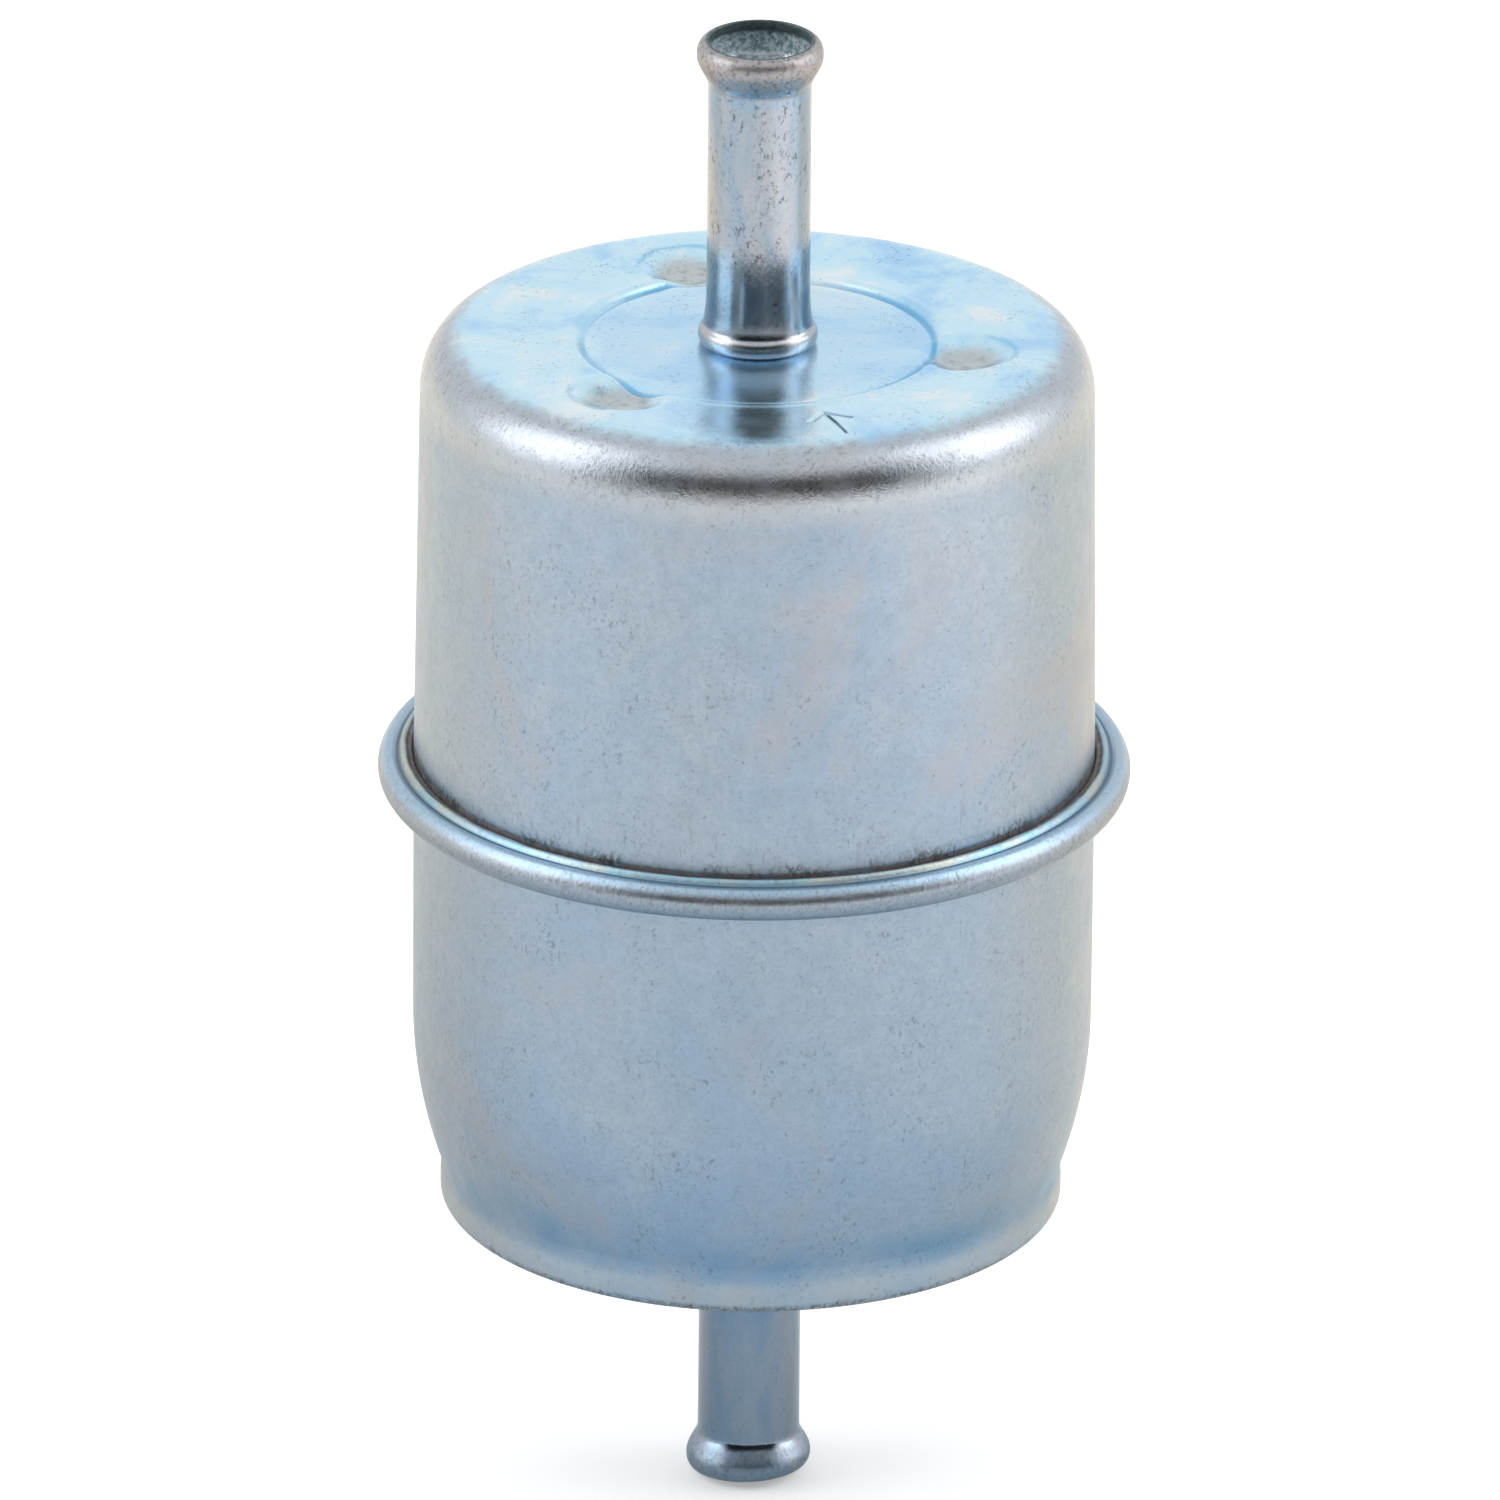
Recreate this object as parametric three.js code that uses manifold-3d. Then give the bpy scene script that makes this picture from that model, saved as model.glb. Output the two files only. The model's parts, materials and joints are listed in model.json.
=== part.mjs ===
// In-line fuel filter: two drawn steel cups locked by a rolled seam, a hose tube at each end, and a
// pleated paper element inside. Millimetres, +Z towards the inlet, origin on the axis in the seam's
// middle plane. Every round piece is a profile of (radius, height) points turned about Z.
import * as THREE from "three";
import { mergeVertices } from "three/addons/utils/BufferGeometryUtils.js";
import Module from "manifold-3d";

const wasm = await Module();
wasm.setup();

// ---- driving dimensions -------------------------------------------------------------------------
const BODY_RADIUS = 26.3; // outside of both cups at the seam
const INLET_HEIGHT = 35.5; // seam plane to the crest of the inlet cup
const OUTLET_HEIGHT = 35.9; // seam plane to the foot of the outlet cup
const SHEET = 0.8; // wall of both cups
const GAP = 0.05; // clearance between faces that touch
const SEGMENTS = 40; // flats round a cup
const TUBE_SEGMENTS = 20;
const ELEMENT_SEGMENTS = 32;

// inlet cup
const INLET_DRAFT = 0.43; // radius lost from the seam up to the shoulder
const SHOULDER_ACROSS = 4.2; // the shoulder's reach in radius
const SHOULDER_DOWN = 5.0; // the shoulder's reach in height
const SHOULDER_POWER = 2.26; // 2 is an ellipse, more is squarer
const INLET_DISH = 0.5; // the end face lies this far below the crest
const RIDGE_RADIUS = 13.8; // raised ring pressed into the end face
const RIDGE_HEIGHT = 0.2;
const RIDGE_HALF_WIDTH = 0.9;
const DIMPLE_COUNT = 3;
const DIMPLE_CIRCLE = 16.2; // radius of the circle that the dimples lie on
const DIMPLE_FIRST_DEG = -10.5;
const DIMPLE_MOUTH = 3.6; // radius at the end face
const DIMPLE_FLOOR = 1.9; // radius at the dimple's flat bottom
const DIMPLE_DEPTH = 1.2;

// outlet cup
const BARREL_LENGTH = 20.1; // seam plane to where the wall starts to curve in
const STEP_RADIUS = 24.15; // the short collar at the foot
const STEP_HEIGHT = 3.1; // foot to the waist above that collar
const WAIST_DEPTH = 0.2; // the waist is this much smaller than the collar
const FOOT_CORNER = 1.2;
const OUTLET_RECESS = 0.9; // the end face lies this far above the foot
const RECESS_RADIUS = 14.0;
const RECESS_SLOPE = 1.4; // width of the sloping wall round the recess

// rolled seam
const SEAM_GASKET = 0.5; // thickness of the sealing ring between the two flanges
const SEAM_CLEARANCE = 0.06;
const SEAM_REACH = 1.2; // body wall to the roll's centre
const ROLL_STEPS = 8; // flats round the roll's half circle
const SEAM_FILLET = 1.0; // under the roll
const FLANGE_FILLET = 0.3; // on top of the hidden flange
const CREVICE = 0.42; // open groove between the roll's raw edge and the inlet cup

// hose tubes, the same part at both ends
const TUBE_RADIUS = 3.97; // for 5/16 inch hose
const BORE_RADIUS = 3.27;
const PORT_REACH = 24.5; // end face to the tube's tip
const TIP_FLAT = 0.4; // width of the flat ring at the tip
const BEAD_RISE = 0.72; // hose bead above the tube
const BEAD_BELOW_TIP = 1.3; // the bead's largest radius lies this far below the tip
const BEAD_FLANK = 2.6; // length of the slope from the bead back to the tube
const COLLAR_RISE = 0.62; // rounded collar that rests on the end face
const COLLAR_HEIGHT = 1.75;
const FLARE_RISE = 0.88; // swaged lip inside the cup
const FLARE_HEIGHT = 0.6;
const BRAZE_LEG = 0.8; // fillet of braze beside the lip

// filter element
const REST_GAP = 0.1; // dimples to the end cap that they hold
const POCKET_GAP = 0.5; // end cap to the collar's inside
const CAP_SHEET = 0.5;
const CAP_RIM = 2.5; // height of an end cap's rim
const CAP_BEVEL = 0.5;
const BOSS_DEPTH = 2.0; // the cap's middle dips into the core tube this far
const BOSS_GAP = 0.15;
const CAP_PORT = 4.2; // radius of the outlet cap's hole
const CORE_RADIUS = 7.5; // perforated core tube
const CORE_WALL = 0.5;
const CORE_HOLE = 1.5;
const CORE_HOLES_ROUND = 8;
const CORE_HOLE_ROWS = 5;
const CORE_HOLE_SIDES = 8;
const CORE_END_MARGIN = 7; // solid tube at each end
const POTTING = 1.2; // layer of adhesive in each cap
const PLEATS = 30;
const PAPER = 0.45;
const PLEAT_CORE_GAP = 0.6;
const PLEAT_RIM_GAP = 0.4;
const FOLD_STEPS = 2; // flats round half a fold
const CLIP_SHEET = 0.3;
const CLIP_DEPTH = 3.0; // how far the clip reaches down the two end leaves
const CLIP_PINCH = 0.1; // each side of the paper inside the clip
const SEAL_THICKNESS = 1.4;
const SEAL_WIDTH = 4.5;
const SEAL_CORE_GAP = 0.3; // the seal's hole is this much wider than the cap's boss

// ---- derived places -----------------------------------------------------------------------------
const seamHalf = (3 * SHEET + SEAM_GASKET + 3 * SEAM_CLEARANCE) / 2;
const rollCentre = BODY_RADIUS + SEAM_REACH;
const flangeTop = seamHalf - SHEET - SEAM_CLEARANCE;
const flangeUnder = flangeTop - SHEET;
// The flange's top edge stops short of the flats inside the roll, which lie nearer than its corners.
const rollInside = seamHalf * Math.cos(Math.PI / (2 * ROLL_STEPS)) - SHEET;
const flangeRadius =
  rollCentre + Math.sqrt(rollInside ** 2 - flangeTop ** 2) - SEAM_CLEARANCE;

const inletFace = INLET_HEIGHT - INLET_DISH;
const outletFace = OUTLET_HEIGHT - OUTLET_RECESS; // measured downwards from the seam plane
const holeRadius = TUBE_RADIUS + GAP;

const elementTop = inletFace - DIMPLE_DEPTH - SHEET - REST_GAP;
const elementBottom = -(outletFace - SHEET - SEAL_THICKNESS - 2 * GAP);
const elementMiddle = (elementTop + elementBottom) / 2;
const elementHalf = (elementTop - elementBottom) / 2;
const capRadius = STEP_RADIUS - WAIST_DEPTH - SHEET - POCKET_GAP;
const bossInside = CORE_RADIUS - CORE_WALL - BOSS_GAP - CAP_SHEET;
const capInside = elementHalf - CAP_SHEET - GAP; // half the distance between the caps' inner faces
const pleatHalf = capInside - POTTING - GAP;
const pleatInner = CORE_RADIUS + PLEAT_CORE_GAP;
const pleatOuter = capRadius - CAP_SHEET - PLEAT_RIM_GAP;

// ---- profiles -----------------------------------------------------------------------------------
const point = (radius, height) => new THREE.Vector2(radius, height);
const radians = THREE.MathUtils.degToRad;

// Points on an ellipse about (radius, height), or a squarer curve where power is over 2.
function arc(radius, height, across, up, fromDeg, toDeg, steps, power = 2) {
  const bend = (v) => Math.sign(v) * Math.abs(v) ** (2 / power);
  return Array.from({ length: steps + 1 }, (_, i) => {
    const angle = radians(fromDeg + ((toDeg - fromDeg) * i) / steps);
    return point(
      radius + across * bend(Math.cos(angle)),
      height + up * bend(Math.sin(angle)),
    );
  });
}

// The line moved sideways: to its right-hand side where distance is positive.
function offset(line, distance) {
  const along = (a, b) => b.clone().sub(a).normalize();
  return line.map((p, i) => {
    const before = i ? along(line[i - 1], p) : along(p, line[1]);
    const after = i < line.length - 1 ? along(p, line[i + 1]) : before;
    const way = before.clone().add(after).normalize();
    const miter = distance / Math.max(way.dot(after), 0.5);
    return point(p.x + way.y * miter, p.y - way.x * miter);
  });
}

// A sheet whose outer face follows the line, with its thickness to the line's right-hand side.
const sheet = (line, thickness) => [...line, ...offset(line, thickness).reverse()];

const rectangle = (inner, outer, low, high) => [
  point(inner, low),
  point(outer, low),
  point(outer, high),
  point(inner, high),
];

// ---- solids -------------------------------------------------------------------------------------
// A closed profile, or one that ends on the axis, turned about Z with its faces pointing out.
function turned(profile, segments) {
  const clockwise = THREE.ShapeUtils.isClockWise(profile);
  const loop = clockwise ? [...profile].reverse() : [...profile];
  if (loop.every((p) => p.x > 0)) loop.push(loop[0]);
  return new THREE.LatheGeometry(loop, segments).rotateX(Math.PI / 2);
}

function solid(geometry) {
  const bare = geometry.index ? geometry.toNonIndexed() : geometry.clone();
  bare.deleteAttribute("normal");
  bare.deleteAttribute("uv");
  const merged = mergeVertices(bare, 1e-4);
  return new wasm.Manifold(
    new wasm.Mesh({
      numProp: 3,
      vertProperties: merged.attributes.position.array,
      triVerts: new Uint32Array(merged.index.array),
    }),
  );
}

function geometryOf(made) {
  const mesh = made.getMesh();
  return new THREE.BufferGeometry()
    .setAttribute("position", new THREE.BufferAttribute(mesh.vertProperties, 3))
    .setIndex(new THREE.BufferAttribute(mesh.triVerts, 1));
}

// A straight-sided cone standing on Z, from radius low at z0 to radius high at z1.
const frustum = (low, z0, high, z1, segments) =>
  turned([point(0, z0), point(low, z0), point(high, z1), point(0, z1)], segments);

// ---- casing -------------------------------------------------------------------------------------
function inletShell() {
  const shoulder = BODY_RADIUS - INLET_DRAFT - SHOULDER_ACROSS;
  const line = [
    point(holeRadius, inletFace),
    point(RIDGE_RADIUS - RIDGE_HALF_WIDTH, inletFace),
    point(RIDGE_RADIUS, inletFace + RIDGE_HEIGHT),
    point(RIDGE_RADIUS + RIDGE_HALF_WIDTH, inletFace),
    ...arc(
      shoulder,
      INLET_HEIGHT - SHOULDER_DOWN,
      SHOULDER_ACROSS,
      SHOULDER_DOWN,
      90,
      0,
      6,
      SHOULDER_POWER,
    ),
    ...arc(
      BODY_RADIUS + FLANGE_FILLET,
      flangeTop + FLANGE_FILLET,
      FLANGE_FILLET,
      FLANGE_FILLET,
      180,
      270,
      2,
    ),
    point(flangeRadius, flangeTop),
  ];
  let cup = solid(turned(sheet(line, SHEET), SEGMENTS));
  const floor = inletFace - DIMPLE_DEPTH;
  const slope = (DIMPLE_MOUTH - DIMPLE_FLOOR) / DIMPLE_DEPTH;
  const wall = SHEET / 2; // the dimple's wall is thinned by the draw
  for (let i = 0; i < DIMPLE_COUNT; i++) {
    const angle = radians(DIMPLE_FIRST_DEG + (360 / DIMPLE_COUNT) * i);
    const place = (geometry) =>
      solid(
        geometry.translate(
          DIMPLE_CIRCLE * Math.cos(angle),
          DIMPLE_CIRCLE * Math.sin(angle),
          0,
        ),
      );
    const top = inletFace - wall;
    const boss = frustum(
      DIMPLE_FLOOR + wall,
      floor - SHEET,
      DIMPLE_FLOOR + wall + slope * (top - floor + SHEET),
      top,
      16,
    );
    const press = frustum(
      DIMPLE_FLOOR,
      floor,
      DIMPLE_FLOOR + slope * (INLET_HEIGHT - floor),
      INLET_HEIGHT,
      16,
    );
    cup = cup.add(place(boss)).subtract(place(press));
  }
  return geometryOf(cup);
}

// Drawn with its foot at the bottom, from the hole outwards and up to the roll's raw edge.
function outletShell() {
  const waist = STEP_RADIUS - WAIST_DEPTH;
  const waistHeight = STEP_HEIGHT - OUTLET_HEIGHT;
  const drop = -BARREL_LENGTH - waistHeight;
  const inset = BODY_RADIUS - waist;
  const bow = (drop ** 2 + inset ** 2) / (2 * inset);
  const bowDeg = THREE.MathUtils.radToDeg(Math.asin(drop / bow));
  const line = [
    point(holeRadius, -outletFace),
    point(RECESS_RADIUS - RECESS_SLOPE, -outletFace),
    point(RECESS_RADIUS, -OUTLET_HEIGHT),
    ...arc(
      STEP_RADIUS - FOOT_CORNER,
      FOOT_CORNER - OUTLET_HEIGHT,
      FOOT_CORNER,
      FOOT_CORNER,
      -90,
      0,
      3,
    ),
    ...arc(BODY_RADIUS - bow, -BARREL_LENGTH, bow, bow, -bowDeg, 0, 4),
    ...arc(
      BODY_RADIUS + SEAM_FILLET,
      -seamHalf - SEAM_FILLET,
      SEAM_FILLET,
      SEAM_FILLET,
      180,
      90,
      2,
    ),
    ...arc(rollCentre, 0, seamHalf, seamHalf, -90, 90, ROLL_STEPS),
    point(BODY_RADIUS + CREVICE, seamHalf),
  ];
  return turned(sheet(line, -SHEET), SEGMENTS);
}

const seamGasket = () =>
  turned(
    rectangle(
      BODY_RADIUS + SEAM_FILLET / 2,
      flangeRadius,
      flangeUnder - SEAM_CLEARANCE - SEAM_GASKET,
      flangeUnder - SEAM_CLEARANCE,
    ),
    SEGMENTS,
  );

// ---- hose tube, in its port's own frame: z = 0 on the cup's end face, +z out of the cup ------------
function hoseTube() {
  const beadHeight = PORT_REACH - BEAD_BELOW_TIP;
  const beadRadius = TUBE_RADIUS + BEAD_RISE;
  const wall = TUBE_RADIUS - BORE_RADIUS;
  // half a wave from the bead down to a straight wall
  const flank = (radius, steps) =>
    Array.from({ length: steps }, (_, i) => {
      const share = (i + 1) / steps;
      return point(
        radius + BEAD_RISE * (0.5 + 0.5 * Math.cos(Math.PI * share)),
        beadHeight - BEAD_FLANK * share,
      );
    });
  const outside = [
    point(beadRadius - 0.37, PORT_REACH),
    point(beadRadius - 0.12, PORT_REACH - BEAD_BELOW_TIP * 0.35),
    point(beadRadius, beadHeight),
    ...flank(TUBE_RADIUS, 4),
    point(TUBE_RADIUS, COLLAR_HEIGHT),
    ...arc(TUBE_RADIUS, COLLAR_HEIGHT / 2, COLLAR_RISE, COLLAR_HEIGHT / 2, 60, -60, 4),
    point(TUBE_RADIUS + COLLAR_RISE / 2, GAP),
    point(TUBE_RADIUS, GAP),
    point(TUBE_RADIUS, -SHEET - GAP),
    point(TUBE_RADIUS + FLARE_RISE, -SHEET - GAP),
    point(TUBE_RADIUS + FLARE_RISE, -SHEET - GAP - FLARE_HEIGHT),
  ];
  const inside = [
    point(BORE_RADIUS, -SHEET - GAP - FLARE_HEIGHT),
    ...flank(BORE_RADIUS, 3).reverse(),
    point(beadRadius - wall, beadHeight),
    point(beadRadius - 0.37 - TIP_FLAT, PORT_REACH),
  ];
  return turned([...outside, ...inside], TUBE_SEGMENTS);
}

function brazeRing() {
  const inner = TUBE_RADIUS + FLARE_RISE + GAP;
  const top = -SHEET - GAP;
  return turned(
    [point(inner, top), point(inner + BRAZE_LEG, top), point(inner, top - BRAZE_LEG)],
    TUBE_SEGMENTS,
  );
}

// ---- element, in its own frame: z = 0 in its middle ----------------------------------------------
// A pressed cap for the top end. Its middle dips into the core tube, with a hole there if it has one.
function endCap(hole) {
  const dip = elementHalf - BOSS_DEPTH;
  const line = [
    point(hole, dip),
    point(bossInside, dip),
    point(bossInside, elementHalf),
    point(capRadius - CAP_BEVEL, elementHalf),
    point(capRadius, elementHalf - CAP_BEVEL),
    point(capRadius, elementHalf - CAP_RIM),
  ];
  const profile = sheet(line, CAP_SHEET);
  profile.forEach((p) => (p.x = Math.max(p.x, hole)));
  return turned(profile, ELEMENT_SEGMENTS);
}

function pottingRing() {
  const inner = CORE_RADIUS + GAP;
  const outer = capRadius - CAP_SHEET - GAP;
  const profile = [
    point(inner, capInside - POTTING),
    point(outer, capInside - POTTING),
    point(outer, capInside - CAP_BEVEL),
    point(outer - CAP_BEVEL, capInside),
    point(inner, capInside),
  ];
  return turned(profile, ELEMENT_SEGMENTS);
}

function coreTube() {
  const inner = CORE_RADIUS - CORE_WALL;
  let tube = solid(
    turned(rectangle(inner, CORE_RADIUS, -capInside, capInside), ELEMENT_SEGMENTS),
  );
  const low = CORE_END_MARGIN - capInside;
  const pitch = (2 * (capInside - CORE_END_MARGIN)) / (CORE_HOLE_ROWS - 1);
  const step = (2 * Math.PI) / CORE_HOLES_ROUND;
  for (let row = 0; row < CORE_HOLE_ROWS; row++)
    for (let i = 0; i < CORE_HOLES_ROUND / 2; i++) {
      // one drill right through makes two opposite holes
      const drill = new THREE.CylinderGeometry(
        CORE_HOLE,
        CORE_HOLE,
        4 * CORE_RADIUS,
        CORE_HOLE_SIDES,
      )
        .rotateZ(Math.PI / 2)
        .rotateZ(step * (i + (row % 2) / 2))
        .translate(0, 0, low + pitch * row);
      tube = tube.subtract(solid(drill));
    }
  return geometryOf(tube);
}

// The paper's middle line, as a closed star that is cut open at angle 0, where its two end leaves lie
// side by side.
function pleatLine() {
  const pitch = (2 * Math.PI) / PLEATS;
  const at = (radius, angle) =>
    point(radius * Math.cos(angle), radius * Math.sin(angle));
  const leaf = PAPER / 2 + CLIP_PINCH;
  const foldRadius = (radius) => (radius * pitch) / 4;
  const fold = (radius, angle, outwards) => {
    const size = foldRadius(radius);
    const centre = outwards ? radius - size : radius + size;
    return Array.from({ length: 2 * FOLD_STEPS + 1 }, (_, i) => {
      const turn = (Math.PI * (i - FOLD_STEPS)) / (2 * FOLD_STEPS);
      const reach = centre + (outwards ? 1 : -1) * size * Math.cos(turn);
      return at(reach, angle + (size * Math.sin(turn)) / reach);
    });
  };
  const line = [point(pleatOuter - CLIP_SHEET - GAP, leaf)];
  for (let i = 0; i < PLEATS; i++) {
    line.push(...fold(pleatInner, pitch * (i + 0.5), false));
    if (i < PLEATS - 1) line.push(...fold(pleatOuter, pitch * (i + 1), true));
  }
  line.push(point(pleatOuter - CLIP_SHEET - GAP, -leaf));
  return line;
}

function extruded(outline, half) {
  return new THREE.ExtrudeGeometry(new THREE.Shape(outline), {
    depth: 2 * half,
    bevelEnabled: false,
  }).translate(0, 0, -half);
}

function pleatedPaper() {
  const line = pleatLine();
  const outline = [
    ...offset(line, PAPER / 2),
    ...offset(line, -PAPER / 2).reverse(),
  ];
  return extruded(outline, pleatHalf);
}

// A channel folded over the two end leaves.
function pleatClip() {
  const mouth = PAPER + 2 * CLIP_PINCH;
  const outer = pleatOuter;
  const line = [
    point(outer - CLIP_DEPTH, -mouth - CLIP_SHEET),
    point(outer, -mouth - CLIP_SHEET),
    point(outer, mouth + CLIP_SHEET),
    point(outer - CLIP_DEPTH, mouth + CLIP_SHEET),
  ];
  return extruded(sheet(line, -CLIP_SHEET), pleatHalf);
}

const sealRing = () => {
  const inner = bossInside + CAP_SHEET + SEAL_CORE_GAP;
  return turned(
    rectangle(
      inner,
      inner + SEAL_WIDTH,
      -elementHalf - GAP - SEAL_THICKNESS,
      -elementHalf - GAP,
    ),
    ELEMENT_SEGMENTS,
  );
};

// ---- materials ----------------------------------------------------------------------------------
const finish = (color, roughness, metalness) =>
  new THREE.MeshStandardMaterial({ color, roughness, metalness });
const zinc = finish(0xaebccb, 0.35, 1);
const tinplate = finish(0xb9bcbd, 0.4, 1);
const copper = finish(0xb87346, 0.45, 1);
const paper = finish(0xd8c690, 0.9, 0);
const adhesive = finish(0x6d7f58, 0.6, 0);
const rubber = finish(0x1d1e20, 0.7, 0);

// ---- assembly -----------------------------------------------------------------------------------
function named(name, geometry, material) {
  const mesh = new THREE.Mesh(geometry, material);
  mesh.name = name;
  return mesh;
}

function group(height, upsideDown, ...meshes) {
  const made = new THREE.Group();
  made.position.z = height;
  if (upsideDown) made.rotation.x = Math.PI;
  made.add(...meshes);
  return made;
}

const filter = new THREE.Group();
filter.add(
  named("inlet_shell", inletShell(), zinc),
  named("outlet_shell", outletShell(), zinc),
  named("seam_gasket", seamGasket(), rubber),
  group(
    inletFace,
    false,
    named("inlet_tube", hoseTube(), zinc),
    named("inlet_braze_ring", brazeRing(), copper),
  ),
  group(
    -outletFace,
    true,
    named("outlet_tube", hoseTube(), zinc),
    named("outlet_braze_ring", brazeRing(), copper),
  ),
  group(
    elementMiddle,
    false,
    named("inlet_end_cap", endCap(0), tinplate),
    named("inlet_potting", pottingRing(), adhesive),
    named("core_tube", coreTube(), tinplate),
    named("pleated_paper", pleatedPaper(), paper),
    named("pleat_clip", pleatClip(), tinplate),
    named("outlet_seal", sealRing(), rubber),
  ),
  group(
    elementMiddle,
    true,
    named("outlet_end_cap", endCap(CAP_PORT), tinplate),
    named("outlet_potting", pottingRing(), adhesive),
  ),
);

export default filter;
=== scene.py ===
"""Looks for the in-line fuel filter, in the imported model's own frame: +Z towards the inlet, origin on
the axis in the middle plane of the rolled seam. Shapes and places are worked out in millimetres, and
every mesh is made in metres."""
import bpy
import json
import math
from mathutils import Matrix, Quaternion, Vector, noise


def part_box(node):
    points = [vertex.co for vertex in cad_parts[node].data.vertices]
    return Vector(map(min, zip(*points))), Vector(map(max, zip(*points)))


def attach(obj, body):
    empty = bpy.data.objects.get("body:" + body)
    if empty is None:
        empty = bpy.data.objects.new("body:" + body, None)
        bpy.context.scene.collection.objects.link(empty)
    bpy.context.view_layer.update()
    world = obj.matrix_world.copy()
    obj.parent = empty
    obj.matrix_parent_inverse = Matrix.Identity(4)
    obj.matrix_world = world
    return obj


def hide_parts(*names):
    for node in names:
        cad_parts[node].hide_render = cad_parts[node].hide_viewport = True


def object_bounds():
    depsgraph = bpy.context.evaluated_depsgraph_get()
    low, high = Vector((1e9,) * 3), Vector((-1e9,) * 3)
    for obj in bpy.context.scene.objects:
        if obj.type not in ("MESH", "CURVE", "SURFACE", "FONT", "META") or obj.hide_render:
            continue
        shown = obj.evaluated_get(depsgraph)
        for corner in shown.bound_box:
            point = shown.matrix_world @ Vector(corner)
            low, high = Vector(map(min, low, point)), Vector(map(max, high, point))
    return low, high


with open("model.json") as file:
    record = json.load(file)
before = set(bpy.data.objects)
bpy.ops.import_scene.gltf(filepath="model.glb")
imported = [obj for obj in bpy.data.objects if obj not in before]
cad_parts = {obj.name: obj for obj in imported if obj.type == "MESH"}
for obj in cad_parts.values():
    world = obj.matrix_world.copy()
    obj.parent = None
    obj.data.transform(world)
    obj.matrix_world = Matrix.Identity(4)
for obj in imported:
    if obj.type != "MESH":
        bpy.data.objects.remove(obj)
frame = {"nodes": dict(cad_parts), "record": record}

cad_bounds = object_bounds()
MM = 0.001

# ---- places that come from the frame, in millimetres ----------------------------------------------
low, high = [Vector(corner) / MM for corner in cad_bounds]
SEAM_RADIUS = high.x
TIP = high.z
SEAM_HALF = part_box("outlet_shell")[1].z / MM  # half the height of the rolled seam
FOOT = -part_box("outlet_shell")[0].z / MM
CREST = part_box("inlet_shell")[1].z / MM
BEAD_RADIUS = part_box("inlet_tube")[1].x / MM

# ---- shape, in millimetres ------------------------------------------------------------------------
SHEET = 0.8
BODY_RADIUS = 26.3
HOLE_RADIUS = 4.02  # the hole in each end face, round its tube

# the inlet cup
INLET_DRAFT = 0.43  # its wall is this much narrower at the shoulder than at the seam
SHOULDER_ACROSS = 4.2
SHOULDER_DOWN = 5.0
SHOULDER_POWER = 2.26
SHOULDER_START = BODY_RADIUS - INLET_DRAFT - SHOULDER_ACROSS  # radius where the end face turns down
WALL_BOTTOM = 0.4  # the wall ends here, hidden in the roll
FACE = CREST - 0.4  # the outer band of the inlet end face, before it rises to the shoulder
RISE_START = 15.5  # radius where that rise begins
DISC_DROP = 0.28  # the disc inside the ring lies this much lower
RING_RADIUS = 13.8
RING_WIDTH = 0.9
RING_LIP = 0.09  # the low bank just outside the ring
RING_GROOVE = 0.14  # the line just inside it
DIMPLE_CIRCLE = 16.2
DIMPLE_FIRST_DEG = -10.5
DIMPLE_MOUTH = 4.1
DIMPLE_FLOOR = 1.2
DIMPLE_DEPTH = 1.0
DIMPLE_BANK = 0.05  # the raised edge of its mouth

# the generic flow arrow
MARK_CENTRE = Vector((5.8, -18.3))
MARK_LENGTH = 5.4
MARK_HEAD = 2.5
MARK_BARB_DEG = 40
MARK_WIDTH = 0.15
MARK_DEPTH = 0.13
MARK_HALF_DEG = 14  # the mesh is finer this far round the axis to each side of the mark

# the outlet cup, with the rolled seam
BARREL_LENGTH = 20.1
STEP_RADIUS = 24.15
STEP_HEIGHT = 3.1
WAIST = STEP_HEIGHT - FOOT  # height of the waist above the foot's step
WAIST_IN = 0.2  # the waist is this much narrower than the step
BOW_SHARE = 0.965  # the curved wall stops just short of the waist
FOOT_CORNER = 0.85
OUTLET_FACE = FOOT - 0.9
RECESS_RADIUS = 14.0
RECESS_SLOPE = 1.4
RECESS_CORNER = 0.9
ROLL_CENTRE = SEAM_RADIUS - SEAM_HALF
ROLL_BELOW_POWER = 2.15
ROLL_ABOVE_POWER = 1.75
LIP_OUTSIDE = 27.5  # the fine groove beside the roll's raw edge
LIP_INSIDE = 26.85  # that edge, next to the inlet cup
LIP_CORNER = 0.2
CREVICE_FLOOR = 1.24  # height of the bottom of the gap between the raw edge and the inlet cup
RAGGED_ACROSS = 0.16  # how far the raw edge wanders
RAGGED_DOWN = 0.1

# the hose tubes, with heights from the end face they stand on
TUBE_RADIUS = 3.97
BORE_RADIUS = 3.27
PORT_REACH = 24.5
TUBE_FOOT = -2.0  # the tube reaches this far into the case
INLET_FACE = TIP - PORT_REACH
BEAD_HEIGHT = PORT_REACH - 1.2
BEAD_RAMP = 2.6
COLLAR_RADIUS = TUBE_RADIUS + 0.62
COLLAR_TOP = 1.62
INLET_TIP_SKEW = 0.25  # the tip is this much shorter on its low side
OUTLET_TIP_SKEW = 0.5
INLET_LOW_SIDE = -1.6  # where that side faces, in radians round the axis
OUTLET_LOW_SIDE = -0.8
SKEW_LENGTH = 4.5

# the spacing of the meshes
FINE_DEG = 0.35
COARSE_DEG = 1.25
TUBE_DEG = 2.5
WALL_SPACING = 0.8
BORE_SPACING = 0.9
DISC_SPACING = 0.3
DISC_RINGS = 30
BAND_SPACING = 0.11
BAND_RINGS = 60


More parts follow.
